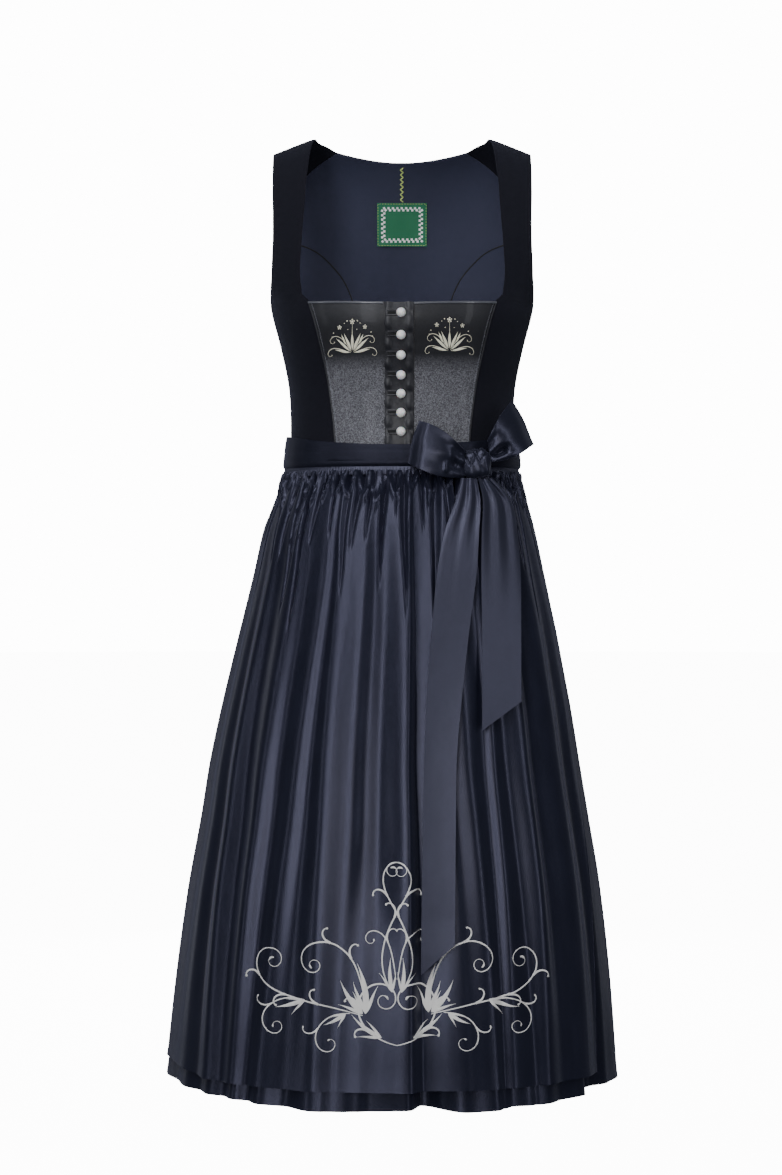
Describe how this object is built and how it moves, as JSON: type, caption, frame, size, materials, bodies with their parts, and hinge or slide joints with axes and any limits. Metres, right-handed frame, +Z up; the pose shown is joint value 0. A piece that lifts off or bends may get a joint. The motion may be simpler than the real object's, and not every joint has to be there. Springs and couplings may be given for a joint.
{
  "type": "dirndl dress with apron",
  "caption": "Sleeveless folk dress with a square neck, buttoned leather bib, gathered skirt and a satin apron tied in a bow, in its worn, hollow form.",
  "frame": {"origin": "on the ridge of the shoulders, in the dress's middle plane", "axes": "+Z up, -Y to the wearer's front, +X to the wearer's left"},
  "size_m": [0.5357, 0.4827, 1.1228],
  "materials": {
    "bodice_cloth": "matte stretch cotton, fine twill",
    "leather": "smooth nappa with a grained lower part",
    "lining_cloth": "plain woven cotton, matte",
    "label_weave": "woven damask label",
    "satin": "satin, soft sheen along the folds",
    "pearl": "pearl lustre"
  },
  "bodies": {
    "root": {"front_side_right": "bodice_cloth", "front_side_left": "bodice_cloth", "back_centre": "bodice_cloth", "back_side_right": "bodice_cloth", "back_side_left": "bodice_cloth", "bib_right": "leather", "bib_left": "leather", "button_placket": "leather", "lining_centre": "lining_cloth", "lining_side_right": "lining_cloth", "lining_side_left": "lining_cloth", "label": "label_weave", "skirt_front": "satin", "skirt_back": "satin", "apron": "satin", "apron_waistband": "satin", "sash": "satin", "bow_knot": "satin", "bow_loop_right": "satin", "bow_loop_left": "satin", "tail_long": "satin", "tail_short": "satin", "button_1": "pearl", "button_2": "pearl", "button_3": "pearl", "button_4": "pearl", "button_5": "pearl", "button_6": "pearl", "button_7": "pearl"}
  },
  "joints": []
}
